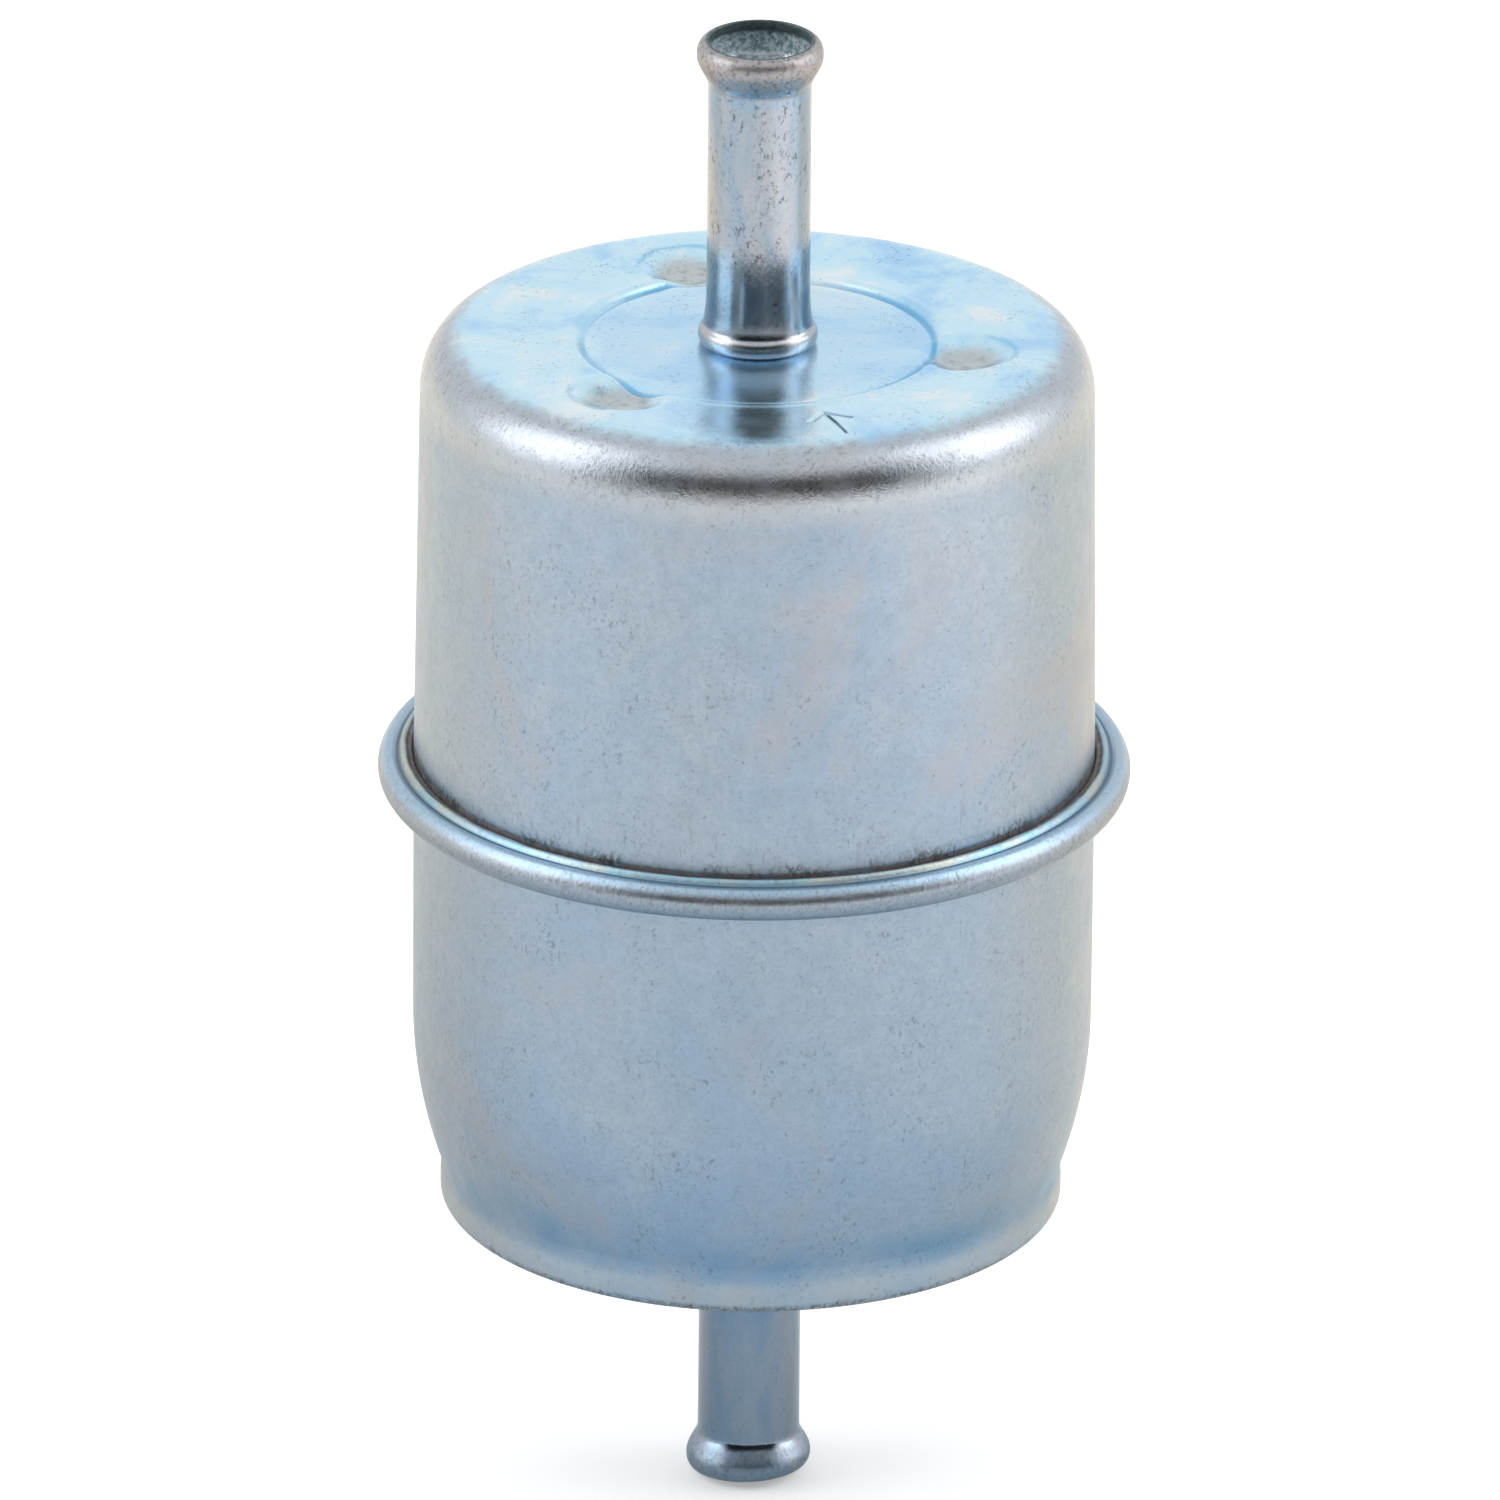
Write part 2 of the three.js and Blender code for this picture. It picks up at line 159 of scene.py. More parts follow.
# ---- curves and profiles of (radius, height) ------------------------------------------------------
def arc(radius, height, across, up, start, end, steps, power=2.0):
    """Points on an ellipse, or on a squarer curve where power is over 2, from one angle to another."""
    def bend(v):
        return math.copysign(abs(v) ** (2 / power), v)
    angles = [math.radians(start + (end - start) * i / steps) for i in range(steps + 1)]
    return [(radius + across * bend(math.cos(a)), height + up * bend(math.sin(a))) for a in angles]


def straight(start, end, spacing):
    """Points from start up to end, without end."""
    steps = max(1, round(math.dist(start, end) / spacing))
    return [tuple(s + (e - s) * i / steps for s, e in zip(start, end)) for i in range(steps)]


def offset(line, distance):
    """The line moved to its right-hand side."""
    moved = []
    for i, (r, z) in enumerate(line):
        before, after = line[max(i - 1, 0)], line[min(i + 1, len(line) - 1)]
        way = Vector((after[0] - before[0], after[1] - before[1])).normalized()
        moved.append((r + way.y * distance, z - way.x * distance))
    return moved


def rounded(points, radius, steps):
    """The line through points with each inner corner turned into a curve about radius long."""
    corners = [Vector(p) for p in points]
    line = [tuple(corners[0])]
    most = 0.48  # of a side's length, so that two curves on one side don't meet
    for before, corner, after in zip(corners, corners[1:], corners[2:]):
        back = min(radius, (before - corner).length * most)
        on = min(radius, (after - corner).length * most)
        start = corner + (before - corner).normalized() * back
        end = corner + (after - corner).normalized() * on
        for i in range(steps + 1):
            t = i / steps
            line.append(tuple(start * (1 - t) ** 2 + corner * 2 * t * (1 - t) + end * t * t))
    return line + [tuple(corners[-1])]


def smoothstep(from_edge, to_edge, v):
    """0 at from_edge and 1 at to_edge, with a smooth rise between. The edges may run downwards."""
    t = min(max((v - from_edge) / (to_edge - from_edge), 0.0), 1.0)
    return t * t * (3 - 2 * t)


def swell(v, middle, width):
    """A soft bump, 1 at the middle and nearly 0 at twice the width."""
    return math.exp(-(((v - middle) / width) ** 2))


# ---- meshes ---------------------------------------------------------------------------------------
def even_turn(spacing):
    """Angles all the way round, about spacing degrees apart."""
    count = round(360 / spacing)
    return [2 * math.pi * i / count for i in range(count)]


def turned(name, profile, angles, shape):
    """A closed profile turned about Z. shape(x, y, z) moves each point, all in millimetres."""
    points = [shape(r * math.cos(a), r * math.sin(a), z) for r, z in profile for a in angles]
    rows, around = len(profile), len(angles)
    faces = []
    for i in range(rows):
        for j in range(around):
            k, m = (i + 1) % rows, (j + 1) % around
            faces.append((i * around + j, i * around + m, k * around + m, k * around + j))
    mesh = bpy.data.meshes.new(name)
    mesh.from_pydata([Vector(p) * MM for p in points], [], faces)
    area = sum(a[0] * b[1] - b[0] * a[1] for a, b in zip(profile, profile[1:] + profile[:1]))
    if area < 0:
        mesh.flip_normals()
    mesh.shade_smooth()
    piece = bpy.data.objects.new(name, mesh)
    bpy.context.collection.objects.link(piece)
    return piece


def clad(piece, node, material):
    """The piece stands for that CAD node, with that material."""
    piece.data.materials.append(material)
    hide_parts(node)
    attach(piece, "root")


# ---- inlet cup ------------------------------------------------------------------------------------
def mark_strokes():
    """A flow arrow that points at the inlet tube: a shaft and two barbs."""
    way = -MARK_CENTRE.normalized()
    tip = MARK_CENTRE + way * MARK_LENGTH / 2
    strokes = [(MARK_CENTRE - way * MARK_LENGTH / 2, tip)]
    for side in (-1, 1):
        turn = math.radians(MARK_BARB_DEG) * side
        barb = Vector((
            -way.x * math.cos(turn) + way.y * math.sin(turn),
            -way.x * math.sin(turn) - way.y * math.cos(turn),
        ))
        strokes.append((tip, tip + barb * MARK_HEAD))
    return strokes


def distance_to(stroke, p):
    start, end = stroke
    along = end - start
    t = min(max((p - start).dot(along) / along.length_squared, 0.0), 1.0)
    return (p - start - along * t).length


STROKES = mark_strokes()
DIMPLES = [
    Vector((math.cos(a), math.sin(a))) * DIMPLE_CIRCLE
    for a in (math.radians(DIMPLE_FIRST_DEG + 120 * i) for i in range(3))
]


def end_face_height(r):
    """The inlet end face without its dimples: a low disc, a soft ring, and a band that rises a little."""
    drop = DISC_DROP * (1 - smoothstep(RING_RADIUS - RING_WIDTH / 2, RING_RADIUS + RING_WIDTH / 2, r))
    bank = RING_LIP * swell(r, RING_RADIUS + 0.55, 0.4)
    groove = RING_GROOVE * swell(r, RING_RADIUS - 0.3, 0.36)
    rise = (CREST - FACE) * smoothstep(RISE_START, SHOULDER_START, r)
    return FACE - drop + bank - groove + rise


def press(x, y, z):
    """Moves a point of the inlet cup's end face down where a dimple or the mark is pressed in."""
    if z < FACE - 2.5 * SHEET:
        return (x, y, z)
    p = Vector((x, y))
    inner_side = z < FACE - SHEET / 2 - DISC_DROP / 2
    for centre in DIMPLES:
        away = (p - centre).length
        if away < DIMPLE_MOUTH + 1:
            z -= DIMPLE_DEPTH * (1 - smoothstep(DIMPLE_FLOOR, DIMPLE_MOUTH, away))
            z += DIMPLE_BANK * swell(away, DIMPLE_MOUTH, 0.5)
    if not inner_side and (p - MARK_CENTRE).length < MARK_LENGTH:
        near = min(distance_to(stroke, p) for stroke in STROKES)
        z -= MARK_DEPTH * swell(near, 0, MARK_WIDTH)
    return (x, y, z)


def inlet_cup():
    wall_top = (BODY_RADIUS - INLET_DRAFT, CREST - SHOULDER_DOWN - 0.6)
    radii = [HOLE_RADIUS + DISC_SPACING * i for i in range(DISC_RINGS + 1)]
    radii += [radii[-1] + BAND_SPACING * (i + 1) for i in range(BAND_RINGS)]
    line = [(r, end_face_height(r)) for r in radii]
    line += arc(SHOULDER_START, CREST - SHOULDER_DOWN, SHOULDER_ACROSS, SHOULDER_DOWN, 90, 0, 34,
                SHOULDER_POWER)
    line += straight(wall_top, (BODY_RADIUS, WALL_BOTTOM), WALL_SPACING)
    line += [(BODY_RADIUS, WALL_BOTTOM)]
    mark_deg = math.degrees(math.atan2(MARK_CENTRE.y, MARK_CENTRE.x)) % 360
    angles = [a for a in even_turn(COARSE_DEG) if abs(math.degrees(a) - mark_deg) > MARK_HALF_DEG]
    fine_count = round(2 * MARK_HALF_DEG / FINE_DEG)
    angles += [math.radians(mark_deg - MARK_HALF_DEG + FINE_DEG * i) for i in range(fine_count + 1)]
    profile = line + offset(line, SHEET)[::-1]
    return turned("inlet_cup", profile, sorted(angles), press)


# ---- outlet cup -----------------------------------------------------------------------------------
def ragged_edge(x, y, z):
    """The roll's raw edge wanders a little."""
    r = math.hypot(x, y)
    share = smoothstep(LIP_INSIDE + 0.35, LIP_INSIDE, r)
    share *= smoothstep(CREVICE_FLOOR - 0.04, CREVICE_FLOOR + 0.06, z)
    if not share or r < BODY_RADIUS + 0.1:
        return (x, y, z)
    push = 1 + share * RAGGED_ACROSS * noise.noise(Vector((x, y, 0)) * 0.3) / r
    drop = share * RAGGED_DOWN * noise.noise(Vector((x, y, 40)) * 0.5)  # 40 picks another slice of it
    return (x * push, y * push, z - abs(drop))


def curved_wall():
    """The wall from just above the waist up to the barrel, upright where it meets the barrel."""
    drop = -BARREL_LENGTH - WAIST
    inset = BODY_RADIUS - STEP_RADIUS + WAIST_IN
    bow = (drop ** 2 + inset ** 2) / (2 * inset)
    bow_deg = math.degrees(math.asin(drop / bow))
    return arc(BODY_RADIUS - bow, -BARREL_LENGTH, bow, bow, -bow_deg * BOW_SHARE, 0, 28)


def rolled_lip(start):
    """From the roll's top inwards: the groove, the ridge beside it, the raw edge and the crevice."""
    points = [
        start,
        (ROLL_CENTRE + 0.55, SEAM_HALF - 0.28),
        (ROLL_CENTRE + 0.2, SEAM_HALF - 0.44),
        (LIP_OUTSIDE, SEAM_HALF - 0.54),
        (LIP_OUTSIDE - 0.22, SEAM_HALF - 0.16),
        (LIP_OUTSIDE - 0.42, SEAM_HALF),
        (LIP_INSIDE, SEAM_HALF - 0.06),
        (LIP_INSIDE - 0.12, CREVICE_FLOOR + 0.08),
        (BODY_RADIUS + 0.05, CREVICE_FLOOR),
    ]
    return rounded(points, LIP_CORNER, 5)[1:]


def outlet_cup():
    base = rounded([
        (HOLE_RADIUS, -OUTLET_FACE),
        (RECESS_RADIUS - RECESS_SLOPE, -OUTLET_FACE),
        (RECESS_RADIUS, -FOOT),
        (STEP_RADIUS - FOOT_CORNER, -FOOT),
    ], RECESS_CORNER, 6)
    step = arc(STEP_RADIUS - FOOT_CORNER, FOOT_CORNER - FOOT, FOOT_CORNER, FOOT_CORNER, -85, 0, 10)
    step += [(STEP_RADIUS, WAIST - 1.3), (STEP_RADIUS - 0.03, WAIST - 0.9)]
    wall = curved_wall()
    barrel_top = (BODY_RADIUS, -SEAM_HALF - 0.8)
    barrel = straight((BODY_RADIUS, 0.8 - BARREL_LENGTH), barrel_top, WALL_SPACING)
    roll = arc(BODY_RADIUS + 0.55, -SEAM_HALF - 0.45, 0.55, 0.5, 180, 90, 5)
    roll += arc(ROLL_CENTRE, 0, SEAM_HALF, SEAM_HALF, -86, 0, 16, ROLL_BELOW_POWER)
    roll += arc(ROLL_CENTRE, 0, SEAM_HALF, SEAM_HALF, 4, 50, 12, ROLL_ABOVE_POWER)
    outside = base + step + wall + barrel + roll + rolled_lip(roll[-1])
    # the inside of the roll, which the inlet cup hides, and then the sheet's inner side
    inside = [(BODY_RADIUS + 0.05, 0.3), (LIP_OUTSIDE - 0.2, -0.1)]
    inside += [(LIP_OUTSIDE - 0.1, -0.55), (BODY_RADIUS - SHEET, -0.6)]
    inside += offset(barrel, -SHEET)[::-1] + offset(wall, -SHEET)[::-1]
    inside += [(STEP_RADIUS - SHEET, WAIST - 1.3), (STEP_RADIUS - SHEET, 1.3 - FOOT)]
    inside += [(STEP_RADIUS - FOOT_CORNER - 0.3, SHEET - FOOT), (RECESS_RADIUS + 0.3, SHEET - FOOT)]
    inside += [(RECESS_RADIUS - RECESS_SLOPE + 0.3, SHEET - OUTLET_FACE)]
    inside += [(HOLE_RADIUS, SHEET - OUTLET_FACE)]
    return turned("outlet_cup", outside + inside, even_turn(FINE_DEG * 2), ragged_edge)


# ---- hose tubes -----------------------------------------------------------------------------------
def tube_outside():
    """From inside the case up: the collar, its flared root, the shank and the hose bead."""
    line = [(HOLE_RADIUS - 0.05, TUBE_FOOT), (TUBE_RADIUS + 0.1, -0.4)]
    line += arc(COLLAR_RADIUS - 0.6, 0.6, 0.6, 0.82, -60, 62, 14, 2.1)
    line += [(TUBE_RADIUS + 0.24, COLLAR_TOP), (TUBE_RADIUS + 0.16, 2.0)]
    line += [(TUBE_RADIUS + 0.07, 2.8), (TUBE_RADIUS + 0.02, 3.6)]
    line += straight((TUBE_RADIUS, 4.4), (TUBE_RADIUS, BEAD_HEIGHT - BEAD_RAMP - 0.1), WALL_SPACING)
    steps = 12
    for i in range(steps + 1):
        out = (BEAD_RADIUS - TUBE_RADIUS) * (0.5 - 0.5 * math.cos(math.pi * i / steps))
        line.append((TUBE_RADIUS + out, BEAD_HEIGHT - BEAD_RAMP * (1 - i / steps)))
    crown = PORT_REACH - BEAD_HEIGHT - 0.16
    return line + arc(BEAD_RADIUS - 0.7, BEAD_HEIGHT + 0.1, 0.7, crown, 8, 84, steps)


def tube_inside():
    """From the tip down: the rounded rim, the hollow of the bead and the bore."""
    line = arc(BEAD_RADIUS - 0.8, PORT_REACH - 0.14, 0.14, 0.14, 80, 190, 5)
    line += arc(BEAD_RADIUS - 1.15, BEAD_HEIGHT - 0.35, 0.4, 1.1, 60, -60, 8)
    line += [(BORE_RADIUS + 0.16, BEAD_HEIGHT - 1.9), (BORE_RADIUS + 0.03, BEAD_HEIGHT - 2.5)]
    line += straight((BORE_RADIUS, BEAD_HEIGHT - 3.2), (BORE_RADIUS, TUBE_FOOT), BORE_SPACING)
    return line + [(BORE_RADIUS, TUBE_FOOT)]


def hose_tube(name, face, up, skew, low_side):
    """A hose tube on the end face at that height. up is 1 for the inlet and -1 for the outlet."""
    def oblique(x, y, z):
        """The tip was cut a little out of square."""
        past = smoothstep(PORT_REACH - SKEW_LENGTH, PORT_REACH, (z - face) * up)
        return (x, y, z - up * skew * past * (1 + math.cos(math.atan2(y, x) - low_side)) / 2)

    profile = [(r, face + up * z) for r, z in tube_outside() + tube_inside()]
    return turned(name, profile, even_turn(TUBE_DEG), oblique)


# ---- nodes ----------------------------------------------------------------------------------------
def srgb(code):
    """A colour as linear numbers, from its usual six-figure code."""
    parts = [int(code[i:i + 2], 16) / 255 for i in (0, 2, 4)]
    return tuple(p / 12.92 if p < 0.04045 else ((p + 0.055) / 1.055) ** 2.4 for p in parts)


class Nodes:
    """Short calls for building one material's or world's nodes. A share runs from 0 to 1."""

    def __init__(self, tree):
        self.tree = tree
        tree.nodes.clear()

    def put(self, node, key, value):
        """Sets an input of the node, or links it when value is another node's output."""
        if isinstance(value, bpy.types.NodeSocket):
            self.tree.links.new(value, node.inputs[key])
        else:
            node.inputs[key].default_value = value

    def add(self, kind, inputs=None, **settings):
        node = self.tree.nodes.new(kind)
        for key, value in settings.items():
            setattr(node, key, value)
        for key, value in (inputs or {}).items():
            self.put(node, key, value)
        return node

    def math(self, operation, *values, clamp=False):
        node = self.add("ShaderNodeMath", dict(enumerate(values)), operation=operation, use_clamp=clamp)
        return node.outputs[0]

    def product(self, *shares):
        made = shares[0]
        for share in shares[1:]:
            made = self.math("MULTIPLY", made, share)
        return made

    def hypot(self, x, y):
        squares = self.math("ADD", self.math("MULTIPLY", x, x), self.math("MULTIPLY", y, y))
        return self.math("SQRT", squares)

    def step(self, value, from_edge, to_edge, to_low=0.0, to_high=1.0):
        """A smooth step from to_low at from_edge to to_high at to_edge."""
        node = self.add("ShaderNodeMapRange", interpolation_type="SMOOTHSTEP", inputs={
            0: value, 1: from_edge, 2: to_edge, 3: to_low, 4: to_high})
        return node.outputs[0]

    def band(self, value, start, end, soft):
        """1 between start and end, falling to 0 over soft on each side."""
        up = self.step(value, start - soft, start + soft)
        return self.math("MULTIPLY", up, self.step(value, end + soft, end - soft))

    def noise(self, vector, scale, detail=3.0, rough=0.55, distortion=0.0):
        node = self.add("ShaderNodeTexNoise", {
            "Vector": vector, "Scale": scale, "Detail": detail, "Roughness": rough,
            "Distortion": distortion})
        return node.outputs[0]

    def wander(self, value, by, reach):
        """The value moved up and down by a noise, reach from end to end."""
        return self.math("ADD", value, self.math("MULTIPLY", self.math("SUBTRACT", by, 0.5), reach))

    def stretched(self, vector, x, y, z):
        node = self.add("ShaderNodeVectorMath", {0: vector, 1: (x, y, z)}, operation="MULTIPLY")
        return node.outputs[0]

    def mix(self, share, first, second):
        """From the first colour at share 0 to the second at share 1."""
        node = self.add("ShaderNodeMix", {0: share}, data_type="RGBA")
        for key, value in ((6, first), (7, second)):
            self.put(node, key, (*value, 1.0) if isinstance(value, tuple) else value)
        return node.outputs[2]

    def paint(self, color, code, *shares):
        """Lays a colour over what is there, as far as all the shares together say."""
        return self.mix(self.product(*shares), color, srgb(code))


class Place:
    """Where the shaded point lies in the object's own frame, in millimetres."""

    def __init__(self, n):
        metres = n.add("ShaderNodeTexCoord").outputs["Object"]
        self.point = n.stretched(metres, 1 / MM, 1 / MM, 1 / MM)
        self.x, self.y, self.z = n.add("ShaderNodeSeparateXYZ", {0: self.point}).outputs
        self.radius = n.hypot(self.x, self.y)

    def round_the_axis(self, n, squeeze):
        """The first value along the circumference and the others squeezed, for strokes along the axis."""
        around = n.math("MULTIPLY", n.math("ARCTAN2", self.y, self.x), BODY_RADIUS)
        radius = n.math("MULTIPLY", self.radius, squeeze)
        return n.add("ShaderNodeCombineXYZ", {
            0: around, 1: radius, 2: n.math("MULTIPLY", self.z, squeeze)}).outputs[0]


class CupPlace(Place):
    """The same, with the noises that several of the cups' marks share."""

    def __init__(self, n):
        super().__init__(n)
        self.strokes = n.noise(self.round_the_axis(n, 0.5), scale=5.5, detail=4.0, rough=0.7)
        self.ragged = n.noise(self.point, scale=0.9, detail=4.0, rough=0.65)
        self.fine = n.noise(n.stretched(self.point, 1, 1, 0.6), scale=3.2, detail=4.0, rough=0.75)
        self.patch = n.noise(n.stretched(self.point, 1, 1, 0.7), scale=0.17, detail=5.0, rough=0.66,
                             distortion=0.3)


def material(name):
    made = bpy.data.materials.new(name)
    made.use_nodes = True
    return made, Nodes(made.node_tree)


def finish_material(n, color, roughness, bump, metallic, strength, distance):
    """Puts the material's last nodes in. The bump's distance is in millimetres."""
    normal = n.add("ShaderNodeBump", {"Height": bump, "Strength": strength, "Distance": distance * MM})
    shader = n.add("ShaderNodeBsdfPrincipled", {
        "Base Color": color, "Roughness": roughness, "Metallic": metallic, "Normal": normal.outputs[0]})
    n.add("ShaderNodeOutputMaterial", {0: shader.outputs[0]})


# ---- the cups' zinc plate -------------------------------------------------------------------------
WALL, WALL_BLUE, WALL_PALE = "a9b5c1", "9fb1c4", "b5bbc0"
WALL_MOTTLE, WALL_GRIT, WALL_STAIN = "98a5b4", "8793a2", "b0adb0"
WAIST_TINT_AND_SHADE, STEP_GREY = "7f9fb8", "b1b7b8"
# the end face's colours are a painted reflection of the bright backdrop
FACE_REFLECTION_BLUE, FACE_REFLECTION_LIGHT, FACE_REFLECTION_PALE, DISC_REFLECTION_BLUE = "a2cff1", "bfe2f3", "dbe8ee", "a6cdec"
RING_REFLECTION_BLUE, DIMPLE_GREY, DIMPLE_SMUDGE, DIMPLE_REFLECTION_BLUE = "4aa5d4", "b4babc", "878c8f", "58b0da"
SHOULDER_GREY, SHOULDER_WORN = "b9bcc0", "75716f"
RIDGE_BLUE, RIDGE_PALE, RIDGE_MARK, GROOVE_SHADE = "8abdd0", "b7bdb2", "6b7c82", "34617c"
ROLL_TOP_REFLECTION, ROLL_SIDE, ROLL_MARK, ROLL_HATCH = "a2c4dc", "9ca6b1", "7a7573", "77706d"
RAW_STEEL, FOOT_SHADE, SCAR = "7a6d67", "56504c", "4b5250"
SCUFF, CUP_SPECK, DRAWN_MARK = "5f6167", "66605c", "7a7c82"

FACE_EDGE = 23.4  # radius where the end face's painted reflection, its blue, stops


def paint_walls(n, at):
    """Soft clouds of grey and blue, a darker blue at the waist that is partly the plating's tint and partly
    painted shade, and paler on the step under it.
    """
    cloud = n.noise(at.point, scale=0.055, detail=5.0, rough=0.62, distortion=0.5)
    color = n.mix(n.step(cloud, 0.36, 0.64), srgb(WALL), srgb(WALL_BLUE))
    color = n.paint(color, WALL_PALE, n.step(at.patch, 0.5, 0.78), 0.6)
    mottle = n.noise(at.point, scale=1.1, detail=5.0, rough=0.7)
    color = n.paint(color, WALL_MOTTLE, n.step(mottle, 0.3, 0.7), 0.55)
    grit = n.noise(at.point, scale=2.6, detail=4.0, rough=0.75)
    color = n.paint(color, WALL_GRIT, n.step(grit, 0.45, 0.75, 0.0, 0.5))
    # partly painted shade: a darker blue band at the waist, partly the plating's own tint
    waist_line = n.wander(at.z, n.noise(at.point, scale=0.1, rough=0.5), 6.0)
    waist = n.band(waist_line, WAIST - 0.2, WAIST + 3.2, 1.6)
    waist_patch = n.step(n.noise(at.point, scale=0.09, detail=2.0, rough=0.5), 0.4, 0.6, 0.25, 0.9)
    color = n.paint(color, WAIST_TINT_AND_SHADE, waist, waist_patch)
    on_step = n.step(at.z, WAIST - 0.2, WAIST - 1.2)
    color = n.paint(color, STEP_GREY, on_step, n.step(at.patch, 0.35, 0.6, 0.2, 0.65))
    stain = n.noise(n.stretched(at.point, 1, 1, 0.8), scale=0.06, detail=4.0, rough=0.65, distortion=0.8)
    return n.paint(color, WALL_STAIN, n.step(stain, 0.5, 0.68, 0.0, 0.55))


def paint_end_face(n, at, color, on_face):
    """A painted reflection of the bright backdrop: bluer and lighter than the walls, deepest in the pressed
    ring.
    """
    cloud = n.noise(n.stretched(at.point, 1, 1, 0.3), scale=0.11, detail=4.0, rough=0.6, distortion=0.5)
    # painted reflection: the end face coloured bluer and lighter, in clouds, and bluer on the disc inside
    # the ring
    face = n.mix(n.step(cloud, 0.34, 0.52), srgb(FACE_REFLECTION_BLUE), srgb(FACE_REFLECTION_LIGHT))
    face = n.paint(face, FACE_REFLECTION_PALE, n.step(cloud, 0.52, 0.68))
    face = n.paint(face, DISC_REFLECTION_BLUE, n.step(at.radius, RING_RADIUS - 0.6, RING_RADIUS - 2.5, 0.0, 0.45))
    color = n.mix(on_face, color, face)
    # painted reflection: a blue line along the pressed ring
    from_ring = n.math("ABSOLUTE", n.math("SUBTRACT", at.radius, RING_RADIUS - 0.3))
    ring_patch = n.step(n.noise(at.point, scale=0.07, detail=2.0, rough=0.5), 0.38, 0.56, 0.12, 0.8)
    color = n.paint(color, RING_REFLECTION_BLUE, n.step(from_ring, 0.42, 0.05), ring_patch, on_face)
    for centre in DIMPLES:
        color = paint_dimple(n, at, color, on_face, centre)
    return color


def paint_dimple(n, at, color, on_face, centre):
    """Rubbed grey on its floor, smudged, and a painted reflection in blue on the bank that faces outwards.
    """
    away = n.hypot(n.math("SUBTRACT", at.x, centre.x), n.math("SUBTRACT", at.y, centre.y))
    away = n.wander(away, at.ragged, 0.9)
    pressed = n.product(on_face, n.step(away, DIMPLE_MOUTH - 0.9, DIMPLE_FLOOR + 0.6), 0.85)
    color = n.paint(color, DIMPLE_GREY, pressed)
    color = n.paint(color, DIMPLE_SMUDGE, pressed, n.step(at.ragged, 0.5, 0.64), 0.6)
    # painted reflection: blue on the dimple's outward bank
    bank = n.band(away, DIMPLE_MOUTH - 0.5, DIMPLE_MOUTH - 0.2, 0.3)
    outward = n.step(n.math("SUBTRACT", at.radius, centre.length), 0.5, 2.5)
    return n.paint(color, DIMPLE_REFLECTION_BLUE, on_face, bank, outward, 0.7)


def paint_shoulder(n, at, color, shoulder):
    """Rubbed grey, with worn specks."""
    color = n.paint(color, SHOULDER_GREY, shoulder, 0.55)
    specks = n.product(n.step(at.fine, 0.49, 0.63), n.step(at.ragged, 0.4, 0.6))
    return n.paint(color, SHOULDER_WORN, shoulder, specks, 0.42)


def paint_roll(n, at, color, on_roll):
    """The rolled seam: a ridge, a painted shade in the groove, a painted reflection in blue on its top, and
    a worn side.
    """
    ridge = n.product(on_roll, n.step(at.z, 0.8, 1.0),
                      n.step(at.radius, LIP_OUTSIDE + 0.15, LIP_OUTSIDE - 0.1))
    ridge_patch = n.step(n.noise(at.point, scale=0.09, detail=4.0, rough=0.7), 0.42, 0.58)
    ridge_color = n.mix(ridge_patch, srgb(RIDGE_BLUE), srgb(RIDGE_PALE))
    color = n.mix(n.product(ridge, n.step(at.patch, 0.4, 0.6, 0.4, 0.85)), color, ridge_color)
    color = n.paint(color, RIDGE_MARK, ridge, n.step(at.fine, 0.5, 0.68), 0.4)
    # painted shade: a dark blue line in the groove
    groove = n.band(at.radius, LIP_OUTSIDE - 0.06, LIP_OUTSIDE + 0.13, 0.09)
    color = n.paint(color, GROOVE_SHADE, on_roll, n.step(at.z, 0.7, 0.9), groove, 0.9)
    # painted reflection: a lighter blue on the top of the roll
    top = n.product(on_roll, n.step(at.z, 0.6, 0.9), n.step(at.radius, LIP_OUTSIDE + 0.1, LIP_OUTSIDE + 0.3))
    color = n.paint(color, ROLL_TOP_REFLECTION, top, 0.6)
    side = n.product(on_roll, n.step(at.radius, SEAM_RADIUS - 0.64, SEAM_RADIUS - 0.24),
                     n.step(at.z, 0.7, 0.4), n.step(at.z, -1.2, -0.7))
    color = n.paint(color, ROLL_SIDE, side, n.step(at.ragged, 0.25, 0.5, 0.5, 0.9))
    color = n.paint(color, ROLL_MARK, side, n.step(at.fine, 0.48, 0.66), 0.45)
    hatch = n.product(n.step(at.strokes, 0.5, 0.66), n.step(at.radius, LIP_OUTSIDE + 0.2, LIP_OUTSIDE + 0.9))
    return n.paint(color, ROLL_HATCH, on_roll, hatch, 0.35)


def paint_bare_steel_and_foot_shade(n, at, color, crevice, dirt_and_shade_line):
    """Dark steel at the roll's raw edge, a painted shade along the foot, and scars on the wall above the
    crevice.
    """
    color = n.paint(color, RAW_STEEL, crevice, 0.9)
    # painted shade: darker along the foot's lower edge
    foot_shade = n.product(n.step(dirt_and_shade_line, 0.9 - FOOT, 0.3 - FOOT),
                           n.step(at.radius, STEP_RADIUS - 1.3, STEP_RADIUS - 0.6))
    color = n.paint(color, FOOT_SHADE, foot_shade, n.step(at.fine, 0.38, 0.6), 0.8)
    above = n.product(n.step(at.radius, BODY_RADIUS + 0.3, BODY_RADIUS + 0.1), n.step(at.z, 0.0, 0.5),
                      n.step(dirt_and_shade_line, SEAM_HALF + 1.2, SEAM_HALF + 0.3))
    return n.paint(color, SCAR, above, n.step(at.fine, 0.42, 0.58), n.step(at.patch, 0.42, 0.56), 0.75)


